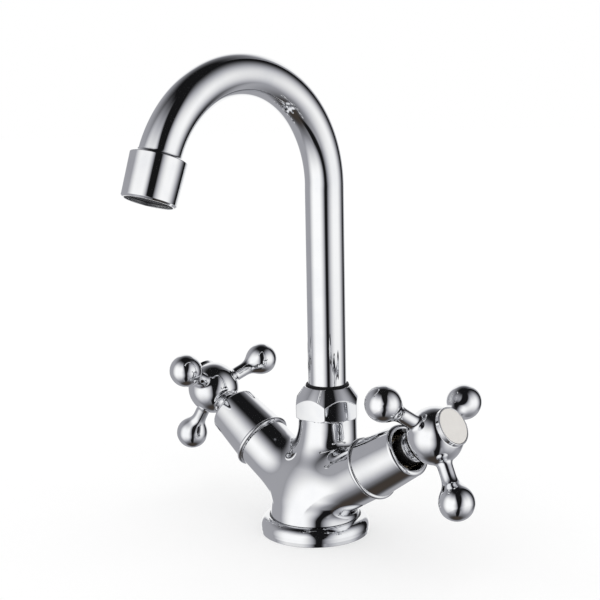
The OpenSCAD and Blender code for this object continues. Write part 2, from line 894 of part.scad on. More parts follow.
handle_screw(hot);  // hot_handle_screw
handle_screw(cold);  // cold_handle_screw
index_cup(hot);  // hot_index_cup
index_cup(cold);  // cold_index_cup
index_disc(hot);  // hot_index_disc
index_disc(cold);  // cold_index_disc
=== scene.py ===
import bpy
import json
import math
from functools import partial
import numpy as np
from mathutils import Matrix


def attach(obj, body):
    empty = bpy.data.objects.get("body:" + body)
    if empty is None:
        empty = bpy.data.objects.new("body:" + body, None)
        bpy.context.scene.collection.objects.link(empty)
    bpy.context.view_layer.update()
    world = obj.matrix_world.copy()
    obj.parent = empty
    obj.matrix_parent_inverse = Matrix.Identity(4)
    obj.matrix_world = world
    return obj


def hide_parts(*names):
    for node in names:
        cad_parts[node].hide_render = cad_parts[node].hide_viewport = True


# Basin mixer tap: the polished skins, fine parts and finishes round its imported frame.
# Shapes are worked out in millimetres and laid down in metres.
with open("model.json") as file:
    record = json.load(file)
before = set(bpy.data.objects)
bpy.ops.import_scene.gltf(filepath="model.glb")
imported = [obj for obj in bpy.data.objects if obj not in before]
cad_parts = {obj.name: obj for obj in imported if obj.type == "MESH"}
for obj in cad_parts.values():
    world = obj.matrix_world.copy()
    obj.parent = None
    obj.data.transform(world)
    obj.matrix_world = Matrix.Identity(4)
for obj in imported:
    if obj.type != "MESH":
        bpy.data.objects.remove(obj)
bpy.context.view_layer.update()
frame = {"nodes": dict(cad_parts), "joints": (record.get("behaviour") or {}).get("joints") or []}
mm = 0.001
nodes = frame["nodes"]
joints = {joint["name"]: joint for joint in frame["joints"]}


# Camera at the photograph's place
cameraLook = {
    "place": (0.4070, -0.4345, 0.2143),
    "yaw": 43.66, "pitch": -9.462, "roll": -1.094,      # degrees left of +Y, above level and of tilt
    "lens": 75.33, "sensor": 36.0,
}


def makeCamera(look):
    yaw, pitch, roll = (math.radians(look[key]) for key in ("yaw", "pitch", "roll"))
    ahead = np.array([-math.sin(yaw) * math.cos(pitch), math.cos(yaw) * math.cos(pitch), math.sin(pitch)])
    level = np.array([math.cos(yaw), math.sin(yaw), 0.0])
    upright = np.cross(level, ahead)
    right = level * math.cos(roll) + upright * math.sin(roll)
    up = upright * math.cos(roll) - level * math.sin(roll)
    data = bpy.data.cameras.new("tapCamera")
    data.sensor_width = look["sensor"]
    data.lens = look["lens"]
    data.clip_start = 0.01
    camera = bpy.data.objects.new("tapCamera", data)
    bpy.context.scene.collection.objects.link(camera)
    pose = np.eye(4)
    pose[:3, 0], pose[:3, 1], pose[:3, 2] = right, up, -ahead
    pose[:3, 3] = look["place"]
    camera.matrix_world = pose.T.tolist()
    bpy.context.scene.camera = camera


makeCamera(cameraLook)
bpy.context.scene.view_settings.view_transform = "Standard"


# Places in the frame: an origin in metres, and the directions of the piece's own X, Y and Z
def unit(vector):
    return vector / np.linalg.norm(vector)


def placeOf(origin, xDirection=(1, 0, 0), yDirection=(0, 1, 0), zDirection=(0, 0, 1)):
    return {"origin": np.array(origin, float), "turn": np.column_stack([xDirection, yDirection, zDirection])}


def valvePlace(jointName, side):
    # Z runs out along the valve's axis, and Y is level and points to the tap's back
    axis = np.array(joints[jointName]["axis"], float)
    back = unit(side * np.cross([0.0, 0.0, 1.0], axis))
    return placeOf(joints[jointName]["pos_m"], np.cross(back, axis), back, axis)


def outletPlace(bend):
    # The end of the bend's middle line, with Z on along the tube
    angle = math.radians(bend["angle"])
    c, s = math.cos(angle), math.sin(angle)
    reach = bend["radius"] * mm
    end = (0, neckBack - reach + reach * c, bend["startHeight"] * mm + reach * s)
    return placeOf(end, (1, 0, 0), (0, c, s), (0, -s, c))


def moved(place, along, degrees):
    # Slid along the place's own Z, in millimetres, and turned round it
    c, s = math.cos(math.radians(degrees)), math.sin(math.radians(degrees))
    spin = np.array([[c, -s, 0], [s, c, 0], [0, 0, 1.0]])
    return {"origin": place["origin"] + place["turn"][:, 2] * along * mm, "turn": place["turn"] @ spin}


spoutBend = {"startHeight": 169.2, "radius": 52.8, "angle": 160.0}
neckBack = joints["spout_swivel"]["pos_m"][1]
neckY = neckBack / mm
basePlace = placeOf((0, 0, 0))
neckPlace = placeOf((0, neckBack, 0))
outlet = outletPlace(spoutBend)
valvePlaces = {"hot": valvePlace("hot_turn", -1), "cold": valvePlace("cold_turn", 1)}


def pick(shape, names):
    # The named values of a piece's dictionary, in that order
    return (shape[name] for name in names.split())


# Meshes from whole arrays of points and faces
def makePiece(name, points, faceSets, normals, place):
    mesh = bpy.data.meshes.new(name)
    world = (points * mm) @ place["turn"].T + place["origin"]
    faces = [row for faceSet in faceSets for row in faceSet.tolist()]
    mesh.from_pydata(world.tolist(), [], faces)
    mesh.polygons.foreach_set("use_smooth", np.ones(len(faces), bool))
    mesh.update()
    if normals is not None:
        mesh.normals_split_custom_set_from_vertices((normals @ place["turn"].T).tolist())
    piece = bpy.data.objects.new(name, mesh)
    bpy.context.scene.collection.objects.link(piece)
    return piece


def gridFaces(rows, around, closed):
    # Quads between neighbours of a grid whose rows are rings; where it is closed, the last row joins the first
    r = np.arange(rows if closed else rows - 1)
    r, c = (a.ravel() for a in np.meshgrid(r, np.arange(around), indexing="ij"))
    rNext, cNext = (r + 1) % rows, (c + 1) % around
    return np.stack([r * around + c, r * around + cNext, rNext * around + cNext, rNext * around + c], 1)


def roundedOutline(corners, stepDegrees=9.0, leastRounding=0.02):
    # Corners are (radius from the axis, height, rounding). Each corner becomes an arc of its rounding that
    # touches both sides, and each point keeps the outward normal, to the right of the way the outline runs.
    points, normals = [], []
    spots = np.array([corner[:2] for corner in corners], float)
    for i, here in enumerate(spots):
        comes = unit(here - spots[i - 1])
        goes = unit(spots[(i + 1) % len(spots)] - here)
        turn = math.atan2(comes[0] * goes[1] - comes[1] * goes[0], comes @ goes)
        rounding = max(corners[i][2], leastRounding)
        cut = rounding * math.tan(abs(turn) / 2)
        steps = max(2, math.ceil(abs(math.degrees(turn)) / stepDegrees))
        angle = np.linspace(0, turn, steps + 1)
        first = np.array([comes[1], -comes[0]])
        c, s = np.cos(angle), np.sin(angle)
        outward = np.stack([first[0] * c - first[1] * s, first[0] * s + first[1] * c], 1)
        centre = here - comes * cut - first * rounding * np.sign(turn)
        points.append(centre + outward * rounding * np.sign(turn))
        normals.append(outward)
    return np.concatenate(points), np.concatenate(normals)


def carriedRound(outline, outward, around):
    # Each outline point (r, z) goes once round the Z axis as (r cos a, r sin a, z), and so does its normal
    angle = np.linspace(0, 2 * np.pi, around, endpoint=False)
    c, s = np.cos(angle)[None, :], np.sin(angle)[None, :]
    return [np.stack([line[:, :1] * c, line[:, :1] * s, line[:, 1:] * np.ones_like(c)], -1).reshape(-1, 3)
            for line in (outline, outward)]


def spunPiece(name, corners, place, around=160, stepDegrees=9.0):
    # A closed outline that stays off the axis, carried once round it
    outline, outward = roundedOutline(corners, stepDegrees)
    points, normals = carriedRound(outline, outward, around)
    return makePiece(name, points, [gridFaces(len(outline), around, True)], normals, place)


def turnedSolid(name, corners, place, around=160, poleGap=0.03):
    # An outline that starts and ends on the axis, carried round it, with one point at each pole
    low, high = corners[0][1], corners[-1][1]
    outline, outward = roundedOutline([(0, low, 0), *corners, (0, high, 0)])
    keep = outline[:, 0] > poleGap
    points, normals = carriedRound(outline[keep], outward[keep], around)
    ring, count = np.arange(around), len(points)
    after, top = (ring + 1) % around, count - around
    faceSets = [gridFaces(count // around, around, False),
                np.stack([np.full(around, count), after, ring], 1),
                np.stack([np.full(around, count + 1), top + ring, top + after], 1)]
    points = np.concatenate([points, [[0, 0, low], [0, 0, high]]])
    normals = np.concatenate([normals, [[0, 0, -1.0], [0, 0, 1.0]]])
    return makePiece(name, points, faceSets, normals, place)


# Smooth skins of a solid that is given by its distance field, negative inside
def roundedUnion(a, b, size):
    # The lesser of two distances, with a fillet where they differ by less than its size
    share = np.maximum(size - np.abs(a - b), 0) / size
    return np.minimum(a, b) - share ** 3 * size / 6


def roundedCommon(a, b, size):
    # Inside both, with the edge eased over its size. What is taken away comes with its sign turned round
    return -roundedUnion(-a, -b, size)


def smoothStep(low, high, value):
    # From 0 to 1, level at both ends
    t = np.clip((value - low) / (high - low), 0, 1)
    return t * t * (3 - 2 * t)


def easedRamp(low, high, ease, value):
    # From 0 to 1 with a straight middle, its slope growing and fading evenly over the eased share at each end
    t = np.clip((value - low) / (high - low), 0, 1)
    ends = np.where(t < 0.5, t * t / (2 * ease), 1 - ease - (1 - t) ** 2 / (2 * ease))
    return np.where(np.abs(t - 0.5) > 0.5 - ease, ends, t - ease / 2) / (1 - ease)


def barOf(shape, name, away, along):
    # A piece's named bar, kept as its radius, start and end, from the distance to its axis and the height on it
    radius, start, end = shape[name]
    return roundedCommon(away - radius, np.maximum(start - along, along - end), shape["edge"])


def slopeOf(field, points, reach=0.02):
    # The field's slope in each direction, from a short step each way
    steps = np.eye(3) * reach
    return np.stack([field(points + step) - field(points - step) for step in steps], -1) / (2 * reach)


def skinOf(field, shape, draw=0.6, draws=5, settles=2):
    # One point in each cell of a grid that the surface crosses, a quad round each grid edge that it crosses,
    # then each point is drawn to the mean of its neighbours and back to the surface, along the field's slope
    low, high, step = np.array(shape["boxLow"]), np.array(shape["boxHigh"]), shape["grid"]
    counts = np.ceil((high - low) / step).astype(int) + 1
    axes = [low[i] + step * np.arange(counts[i]) for i in range(3)]
    value = np.empty(counts, np.float32)
    for i in range(counts[0]):
        layer = np.stack(np.meshgrid([axes[0][i]], axes[1], axes[2], indexing="ij"), -1)
        value[i] = field(layer.reshape(-1, 3)).reshape(counts[1], counts[2])
    inside = value < 0
    corners = [inside[x:counts[0] - 1 + x, y:counts[1] - 1 + y, z:counts[2] - 1 + z]
               for x in (0, 1) for y in (0, 1) for z in (0, 1)]
    total = sum(corner.astype(np.int8) for corner in corners)
    cells = np.argwhere((total > 0) & (total < 8))
    number = np.full(counts - 1, -1, np.int64)
    number[tuple(cells.T)] = np.arange(len(cells))
    points = low + (cells + 0.5) * step
    quads = []
    for axis in range(3):
        u, v = (axis + 1) % 3, (axis + 2) % 3
        at = np.argwhere(np.diff(inside, axis=axis))
        at = at[(at[:, u] > 0) & (at[:, v] > 0)]
        around = []
        for du, dv in ((1, 1), (0, 1), (0, 0), (1, 0)):
            cell = at.copy()
            cell[:, u] -= du
            cell[:, v] -= dv
            around.append(number[tuple(cell.T)])
        around = np.stack(around, 1)
        quads.append(np.where(inside[tuple(at.T)][:, None], around, around[:, ::-1]))
    quads = np.concatenate(quads)
    here, there = quads.ravel(), np.roll(quads, -1, axis=1).ravel()
    degree = np.bincount(here, minlength=len(points)) + np.bincount(there, minlength=len(points))

    def toSurface(points, most):
        slope = slopeOf(field, points)
        pull = field(points)[:, None] * slope / np.maximum((slope ** 2).sum(1, keepdims=True), 1e-3)
        return points - np.clip(pull, -most, most)

    points = toSurface(points, step)
    for _ in range(draws):
        mean = np.stack([
            np.bincount(here, points[there, i], len(points)) + np.bincount(there, points[here, i], len(points))
            for i in range(3)], 1) / degree[:, None]
        points = toSurface(points + draw * (mean - points), step)
    for _ in range(settles):
        points = toSurface(points, np.inf)
    slope = slopeOf(field, points)
    return points, [quads], slope / np.linalg.norm(slope, axis=1, keepdims=True)


# Body casting: column, sloping shoulder, neck and the two valve arms as one filleted skin
castingShape = {
    "columnRadius": 21.9, "shoulderFoot": 8.0, "shoulderTop": 54.0, "shoulderEase": 0.25,
    "neckRadius": 14.5, "neckTop": 56.0,
    # Bars and bores: radius, start and end along their own axis
    "neckSpigot": (13.1, 45.0, 61.5), "neckBore": (10.5, 40.0, 80.0),
    "arm": (13.85, -4.0, 41.9), "armSpigot": (12.1, 30.0, 46.0), "chamber": (10.3, 21.0, 60.0),
    "stud": (3.35, -9.0, 14.0), "inlet": (4.46, -9.0, 14.0), "inletOut": 10.0,
    # The arms' fillets grow from the foot's to the lower size, and shrink to the upper size at the neck
    "footFillet": 6.0, "lowerFillet": 15.0, "upperFillet": 7.0, "growing": (9.0, 21.0), "shrinking": (34.0, 50.0),
    "edge": 0.5, "grid": 0.62, "boxLow": (-48, -26, -1.5), "boxHigh": (48, 27, 64),
}


def castingField(shape):
    # The trunk is a round bar whose radius and middle go from the column's to the neck's by an eased ramp of the
    # height. Each arm is a bar that meets it in a fillet; spigots are bars added and bores are bars taken away.
    edge, foot, lower, upper = pick(shape, "edge footFillet lowerFillet upperFillet")

    def field(p):
        x, y, z = p[:, 0], p[:, 1], p[:, 2]
        rise = easedRamp(shape["shoulderFoot"], shape["shoulderTop"], shape["shoulderEase"], z)
        radius = shape["columnRadius"] + (shape["neckRadius"] - shape["columnRadius"]) * rise
        trunk = np.hypot(x, y - neckY * rise) - radius
        solid = roundedCommon(trunk, np.maximum(-z, z - shape["neckTop"]), edge)
        fillet = foot + (lower - foot) * smoothStep(*shape["growing"], z)
        fillet = fillet + (upper - lower) * smoothStep(*shape["shrinking"], z)
        neckAway = np.hypot(x, y - neckY)
        added = [barOf(shape, "neckSpigot", neckAway, z)]
        taken = [barOf(shape, "neckBore", neckAway, z),
                 barOf(shape, "stud", np.hypot(x, y), z)]
        for side in (-1, 1):
            taken.append(barOf(shape, "inlet", np.hypot(x - side * shape["inletOut"], y), z))
        for arm in valvePlaces.values():
            local = (p - arm["origin"] / mm) @ arm["turn"]
            away, along = np.hypot(local[:, 0], local[:, 1]), local[:, 2]
            solid = roundedUnion(solid, barOf(shape, "arm", away, along), fillet)
            solid = roundedCommon(solid, -z, edge)
            added.append(barOf(shape, "armSpigot", away, along))
            taken.append(barOf(shape, "chamber", away, along))
        return roundedCommon(np.minimum.reduce([solid, *added]), -np.minimum.reduce(taken), edge)

    return field


casting = makePiece("castingSkin", *skinOf(castingField(castingShape), castingShape), basePlace)
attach(casting, "root")
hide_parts("body_casting")
print("casting skin:", len(casting.data.polygons), "quads")


# Base ring: foot, bulging side, rounded crest and the groove beside the column
ringShape = {
    "inner": 21.95, "outer": 26.85, "foot": 26.6, "height": 8.2, "waist": 3.2, "underWaist": 1.92,
    "crestRadius": 22.5, "grooveDepth": 0.9, "grooveReach": 0.8,
    "gasketIn": 22.95, "gasketOut": 24.85, "gasketTop": 1.55,
    "sideAngles": (4, 90, 7), "grooveAngles": (12, 80, 13),          # start, end and step in degrees
}


def ringCorners(shape):
    # The side is a quarter of an oval from the waist to the crest, and the crest falls back to the column
    inner, outer, crest, waist, height = pick(shape, "inner outer crestRadius waist height")
    groove, gasketIn, gasketOut, gasketTop = pick(shape, "grooveDepth gasketIn gasketOut gasketTop")
    turn, fall = np.radians(np.arange(*shape["sideAngles"])), np.radians(np.arange(*shape["grooveAngles"]))
    reach = shape["grooveReach"] * (crest - inner)
    side = [(crest + (outer - crest) * c, waist + (height - waist) * s, 1.6)
            for c, s in zip(np.cos(turn), np.sin(turn))]
    back = [(crest - reach * s, height - groove * (1 - c), 0.8) for c, s in zip(np.cos(fall), np.sin(fall))]
    return [
        (inner, 0, 0.15), (gasketIn, 0, 0.1), (gasketIn, gasketTop, 0.1), (gasketOut, gasketTop, 0.1),
        (gasketOut, 0, 0.1), (shape["foot"], 0, 0.25), (outer, shape["underWaist"], 2.5), *side, *back,
        (inner, height - groove, 0.12)]


baseRing = spunPiece("baseRingSkin", ringCorners(ringShape), basePlace, around=220)
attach(baseRing, "root")
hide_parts("base_ring")
print("base ring made")


# Spout nut: six flats under a long cone, eased edges, chamfered foot
nutShape = {
    "flats": 29.9, "turn": 6.8, "foot": 56.0, "footChamfer": 1.2, "cornerTop": 62.8, "cornerEase": 0.1,
    "top": 71.25, "topRadius": 11.3, "crown": 125.0, "crownLift": 0.14, "coneLift": 0.12,
    "bore": (13.2, 40.0, 64.7), "sleeveBore": (10.65, 60.0, 90.0), "edge": 0.3, "endEdge": 0.21,
    "grid": 0.33, "boxLow": (-18.5, -18.5, 55), "boxHigh": (18.5, 18.5, 72.3),
}


def nutField(shape):
    # Inside six flats, a cone above, a chamfer below and the two ends. Each flat is a slice of a wide cylinder,
    # as polishing leaves it, and the cone bulges by a parabola that is nothing at its two ends.
    foot, top, cornerTop, topRadius = pick(shape, "foot top cornerTop topRadius")
    crown, edge, endEdge = pick(shape, "crown edge endEdge")
    half = shape["flats"] / 2
    cornerRadius = half / math.cos(math.radians(30))
    coneFall = (cornerRadius + shape["cornerEase"] - topRadius) / (top - cornerTop)
    turns = np.radians(shape["turn"] + 30 + 60 * np.arange(6))

    def field(p):
        x, y, z = p[:, 0], p[:, 1], p[:, 2]
        away = np.hypot(x, y)
        flats = np.sort([
            np.hypot(x * math.cos(t) + y * math.sin(t) + crown - half - shape["crownLift"],
                     y * math.cos(t) - x * math.sin(t)) - crown for t in turns], axis=0)
        share = (z - cornerTop) / (top - cornerTop)
        bulge = 4 * shape["coneLift"] * np.clip(share, -0.2, 1) * (1 - share)
        cone = (away - topRadius - (top - z) * coneFall - bulge) / math.hypot(1, coneFall)
        chamfer = (away - cornerRadius + shape["footChamfer"] - (z - foot)) * math.sqrt(0.5)
        solid = roundedCommon(flats[-1], flats[-2], edge)
        for wall, size in ((cone, edge), (chamfer, edge), (np.maximum(foot - z, z - top), endEdge)):
            solid = roundedCommon(solid, wall, size)
        bores = [barOf(shape, name, away, z) for name in ("bore", "sleeveBore")]
        return roundedCommon(solid, -np.minimum.reduce(bores), endEdge)

    return field


nut = makePiece("spoutNutSkin", *skinOf(nutField(nutShape), nutShape), neckPlace)
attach(nut, "root")
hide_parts("spout_nut")
print("spout nut:", len(nut.data.polygons), "quads")

# Slip ring: a flange under the nut, with a sleeve up between the nut and the tube
slipShape = {"flangeOut": 13.05, "sleeveOut": 10.6, "bore": 9.58, "foot": 63.5, "flangeTop": 64.65, "top": 72.25}


def slipCorners(shape):
    # The flange is a flat ring and the sleeve a thinner one on it, each corner with its own small rounding
    flangeOut, sleeveOut, bore, foot, flangeTop, top = pick(shape, "flangeOut sleeveOut bore foot flangeTop top")
    return [(bore, foot, 0.1), (flangeOut, foot, 0.1), (flangeOut, flangeTop, 0.15), (sleeveOut, flangeTop, 0.15),
            (sleeveOut, top, 0.45), (bore, top, 0.25)]


slipRing = spunPiece("slipRingSkin", slipCorners(slipShape), neckPlace)
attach(slipRing, "root")
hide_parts("slip_ring")


# Spout: a drawn tube, straight and then bent, pinched a little in the plane of its bend
tubeShape = {
    "radius": 9.5, "wall": 1.0, "footHeight": 58.0, "endRun": 4.4, "pinch": 0.016, "sideSwell": 0.4,
    "pinchRun": 2.5, "around": 128, "rings": (24, 20, 110, 20, 3),   # straight, bend's start, bend, its end, rest
}


def tubeLine(shape, bend):
    # Distance along the middle line, with the place and heading that a straight run, a bend and a straight give
    foot, ease, radius = shape["footHeight"], shape["pinchRun"], bend["radius"]
    straight = bend["startHeight"] - foot
    bendEnd = straight + math.radians(bend["angle"]) * radius
    marks = [0, straight - ease, straight + ease, bendEnd - ease, bendEnd + ease, bendEnd + shape["endRun"]]
    along = np.concatenate([
        np.linspace(marks[i], marks[i + 1], count, endpoint=i == 4) for i, count in enumerate(shape["rings"])])
    angle = np.clip((along - straight) / radius, 0, math.radians(bend["angle"]))
    over = np.maximum(along - bendEnd, 0)
    y = neckY - radius + radius * np.cos(angle) - np.sin(angle) * over
    z = foot + np.minimum(along, straight) + radius * np.sin(angle) + np.cos(angle) * over
    bent = smoothStep(*marks[1:3], along) * smoothStep(marks[4], marks[3], along)
    return angle, y, z, bent


def tubeSkin(shape, bend):
    # A circle across the line, drawn in by the pinch in the plane of the bend, outside and in the bore
    angle, y, z, bent = tubeLine(shape, bend)
    turn = np.linspace(0, 2 * np.pi, shape["around"], endpoint=False)[None, :]
    across = np.stack([np.cos(angle), np.sin(angle)], 1)
    points, normals = [], []
    for radius, face in ((shape["radius"], 1), (shape["radius"] - shape["wall"], -1)):
        inPlane = radius * (1 - shape["pinch"] * bent)[:, None] * np.cos(turn)
        sideways = radius * (1 + shape["sideSwell"] * shape["pinch"] * bent)[:, None] * np.sin(turn)
        sheet = np.stack([sideways, y[:, None] + inPlane * across[:, :1], z[:, None] + inPlane * across[:, 1:]], -1)
        outward = np.stack([np.sin(turn) * np.ones_like(inPlane), np.cos(turn) * across[:, :1],
                            np.cos(turn) * across[:, 1:]], -1)
        points.append(sheet[::face])
        normals.append(outward[::face] * face)
    faces = gridFaces(2 * len(angle), shape["around"], True)[:, ::-1]
    return np.concatenate(points).reshape(-1, 3), [faces], np.concatenate(normals).reshape(-1, 3)


tube = makePiece("spoutTubeSkin", *tubeSkin(tubeShape, spoutBend), basePlace)
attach(tube, "spout")
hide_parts("spout_tube")
print("spout tube:", len(tube.data.polygons), "quads")


# Outlet nose: short tapered sleeve with a socket for the tube, a brazed seam and a bevelled mouth
noseShape = {
    "top": -0.5, "mouth": 19.1, "topRadius": 12.55, "mouthRadius": 12.05, "bevel": 0.8, "bore": 10.5,
    "socket": 9.55, "socketEnd": 4.5, "waterway": 8.5, "boreStart": 6.0, "braze": 1.9, "seam": 0.12,
}


def noseCorners(shape):
    # Out of the socket over the braze's hollow corner, down the taper to the mouth, and back up the bore
    top, mouth, mouthRadius, bevel, braze = pick(shape, "top mouth mouthRadius bevel braze")
    socket, socketEnd, waterway, bore, boreStart = pick(shape, "socket socketEnd waterway bore boreStart")
    seam = socket + shape["seam"]
    return [
        (socket, socketEnd, 0.1), (socket, top - braze, 0.05), (seam, top - braze, 0.05), (seam, top, braze * 0.95),
        (shape["topRadius"], top, 0.45), (mouthRadius, mouth - bevel, 0.3), (mouthRadius - bevel, mouth, 0.2),
        (bore, mouth, 0.2), (bore, boreStart, 0.1), (waterway, boreStart, 0.1), (waterway, socketEnd, 0.1)]


nose = spunPiece("outletNoseSkin", noseCorners(noseShape), outlet, around=192)
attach(nose, "spout")
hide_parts("outlet_nose")

# Aerator screen: two sets of fine wires woven over and under each other inside a rim
screenShape = {
    "rimOut": 9.15, "rimIn": 8.3, "height": 17.2, "thick": 0.6, "pitch": 1.05, "wire": 0.17, "lift": 0.95,
    "intoRim": 0.1, "leastHalf": 0.3, "turn": 38.0, "steps": 60, "sides": 6,
}


def wovenWires(shape):
    # A wire's height is a cosine along it whose sign changes from wire to wire, so it crosses over and under
    pitch, wire, steps, sides = pick(shape, "pitch wire steps sides")
    reach = shape["rimIn"] + shape["intoRim"]
    count = int(reach / pitch)
    turn = np.arange(sides) * 2 * np.pi / sides
    grid = gridFaces(steps, sides, False)
    points, faces = [], []
    for direction in (0, 1):
        for i, off in enumerate(np.arange(-count, count + 1) * pitch):
            half = math.sqrt(max(reach ** 2 - off ** 2, shape["leastHalf"]))
            run = np.linspace(-half, half, steps)[:, None] * np.ones((1, sides))
            sign = 1 if (i + direction) % 2 else -1
            wave = sign * wire * shape["lift"] * np.cos(np.pi * run / pitch)
            aside = off + wire * np.cos(turn) * np.ones((steps, 1))
            up = shape["height"] + wave + wire * np.sin(turn)
            level = (aside, run) if direction else (run, aside)
            faces.append((grid if direction else grid[:, ::-1]) + len(points) * steps * sides)
            points.append(np.stack([*level, up], -1).reshape(-1, 3))
    return np.concatenate(points), faces, None


def rimCorners(shape):
    # A flat ring, its inner edges rounded less than its outer ones
    low, high = shape["height"] - shape["thick"] / 2, shape["height"] + shape["thick"] / 2
    return [(shape["rimIn"], low, 0.08), (shape["rimOut"], low, 0.1), (shape["rimOut"], high, 0.1),
            (shape["rimIn"], high, 0.08)]


screen = makePiece("aeratorScreenWires", *wovenWires(screenShape), moved(outlet, 0, screenShape["turn"]))
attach(screen, "spout")
screenRim = spunPiece("aeratorScreenRim", rimCorners(screenShape), outlet, around=96)
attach(screenRim, "spout")
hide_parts("aerator_screen")
print("outlet and screen made")


# Valve sleeves: bead at the foot, long taper, rolled mouth
shroudShape = {
    "foot": 41.9, "mouth": 68.5, "footRadius": 14.4, "mouthRadius": 12.7, "beadRadius": 15.45, "beadHeight": 2.3,
    "spigotBore": 12.2, "wideEnd": 52.3, "mouthBore": 9.1, "funnelRadius": 10.4, "funnelDepth": 2.4, "lip": 1.7,
}


def shroudCorners(shape):
    # The bead is rounded by nearly half its height, so it becomes a half round, and the lip rolls into a funnel
    foot, bead, beadRadius, mouth = pick(shape, "foot beadHeight beadRadius mouth")
    mouthBore, spigotBore, wideEnd = pick(shape, "mouthBore spigotBore wideEnd")
    return [
        (spigotBore, foot, 0.15), (beadRadius, foot, bead * 0.49), (beadRadius, foot + bead, bead * 0.49),
        (shape["footRadius"], foot + bead, 0.25), (shape["mouthRadius"], mouth, shape["lip"]),
        (shape["funnelRadius"], mouth, 1.0), (mouthBore, mouth - shape["funnelDepth"], 0.7),
        (mouthBore, wideEnd, 0.2), (spigotBore, wideEnd, 0.2)]


# Handle: round hub with a tail, and three spokes that swell into balls
handleShape = {
    "hubRadius": 13.4, "seat": 9.79, "tail": (7.3, -20.3, 0), "tailFillet": 1.2,
    "spokeRadius": 3.6, "hubFillet": 2.6, "ballReach": 31.5, "ballRadius": 8.3, "ballFillet": 6.0,
    "neckRadius": 5.9, "neckFrom": -14.2, "neckTo": -11.6,
    "splineBore": (3.95, -40, 1.5), "screwBore": (2.05, 0, 30), "headBore": (3.7, 3.5, 30),
    "plugBore": (6.95, 5.8, 30), "along": 85.7, "phases": {"hot": 63.7, "cold": 108.9},
    "edge": 0.35, "grid": 0.52, "boxLow": (-28.5, -37, -23.5), "boxHigh": (41, 37, 14),
}


def handleField(shape):
    # The hub is a ball with a bar below it, and each spoke is a bar with a fillet to its own ball and to the hub.
    # A neck is cut round the bar, a flat seat across the top, and four bores down the middle.
    edge, ballReach, neckFrom, neckTo = pick(shape, "edge ballReach neckFrom neckTo")

    def field(p):
        x, y, z = p[:, 0], p[:, 1], p[:, 2]
        away = np.hypot(x, y)
        hub = np.sqrt(away ** 2 + z ** 2) - shape["hubRadius"]
        solid = roundedUnion(hub, barOf(shape, "tail", away, z), shape["tailFillet"])
        neck = np.maximum(shape["neckRadius"] - away, np.maximum(neckFrom - z, z - neckTo))
        solid = roundedCommon(solid, -neck, edge)
        for turn in np.radians([0, 120, 240]):
            out = x * math.cos(turn) + y * math.sin(turn)
            aside = np.hypot(y * math.cos(turn) - x * math.sin(turn), z)
            rod = np.maximum(aside - shape["spokeRadius"], np.maximum(-out, out - ballReach))
            ball = np.hypot(out - ballReach, aside) - shape["ballRadius"]
            solid = roundedUnion(solid, roundedUnion(rod, ball, shape["ballFillet"]), shape["hubFillet"])
        solid = roundedCommon(solid, z - shape["seat"], edge)
        bores = [barOf(shape, name + "Bore", away, z) for name in ("spline", "screw", "head", "plug")]
        return roundedCommon(solid, -np.minimum.reduce(bores), edge)

    return field


handleSkin = skinOf(handleField(handleShape), handleShape)
print("handle skin:", len(handleSkin[0]), "points")

# Index cup with its rolled rim, and the pale disc in it
indexShape = {
    "radius": 9.15, "seat": 95.49, "top": 97.59, "rim": 0.8, "rimRounding": 0.38, "pocketDepth": 1.1,
    "plugRadius": 6.9, "plugFoot": 91.5, "discGap": 0.05, "discLift": 0.02, "discSunk": 0.06,
}


def cupCorners(shape):
    # A plug for the hub, the cup on it, and a pocket sunk in the cup's face
    radius, seat, top, plugRadius = pick(shape, "radius seat top plugRadius")
    pocket = radius - shape["rim"]
    return [
        (plugRadius, shape["plugFoot"], 0.3), (plugRadius, seat, 0.05), (radius, seat, 0.12),
        (radius, top, shape["rimRounding"]), (pocket, top, 0.3), (pocket, top - shape["pocketDepth"], 0.1)]


def discCorners(shape):
    # A flat disc that clears the pocket's wall and lies a little below the rim
    radius = shape["radius"] - shape["rim"] - shape["discGap"]
    return [(radius, shape["top"] - shape["pocketDepth"] + shape["discLift"], 0.1),
            (radius, shape["top"] - shape["discSunk"], 0.22)]


# Shader nodes: a value is set on its socket, and another node's output is linked to it
def addNode(tree, kind, values=None, **settings):
    node = tree.nodes.new(kind)
    for key, value in settings.items():
        setattr(node, key, value)
    for key, value in (values or {}).items():
        if isinstance(value, bpy.types.NodeSocket):
            tree.links.new(value, node.inputs[key])
        else:
            node.inputs[key].default_value = value
    return node


def mathNode(tree, operation, *values):
    return addNode(tree, "ShaderNodeMath", dict(enumerate(values)), operation=operation).outputs[0]


def productNode(tree, *values):
    total = values[0]
    for value in values[1:]:
        total = mathNode(tree, "MULTIPLY", total, value)
    return total


def rampNode(tree, value, ends):
    # From 0 at the first end to 1 at the second, easing at both
    return addNode(tree, "ShaderNodeMapRange", {"Value": value, "From Min": ends[0], "From Max": ends[1]},
                   interpolation_type="SMOOTHSTEP").outputs["Result"]


def noiseNode(tree, vector, scale, detail=2.0, rough=0.5):
    return addNode(tree, "ShaderNodeTexNoise", {
        "Vector": vector, "Scale": scale, "Detail": detail, "Roughness": rough}).outputs["Fac"]


def mixNode(tree, factor, first, second):
    # The ends are tones or other nodes' outputs
    first, second = ((*end, 1.0) if isinstance(end, tuple) else end for end in (first, second))
    return addNode(tree, "ShaderNodeMix", {0: factor, 6: first, 7: second}, data_type="RGBA").outputs[2]


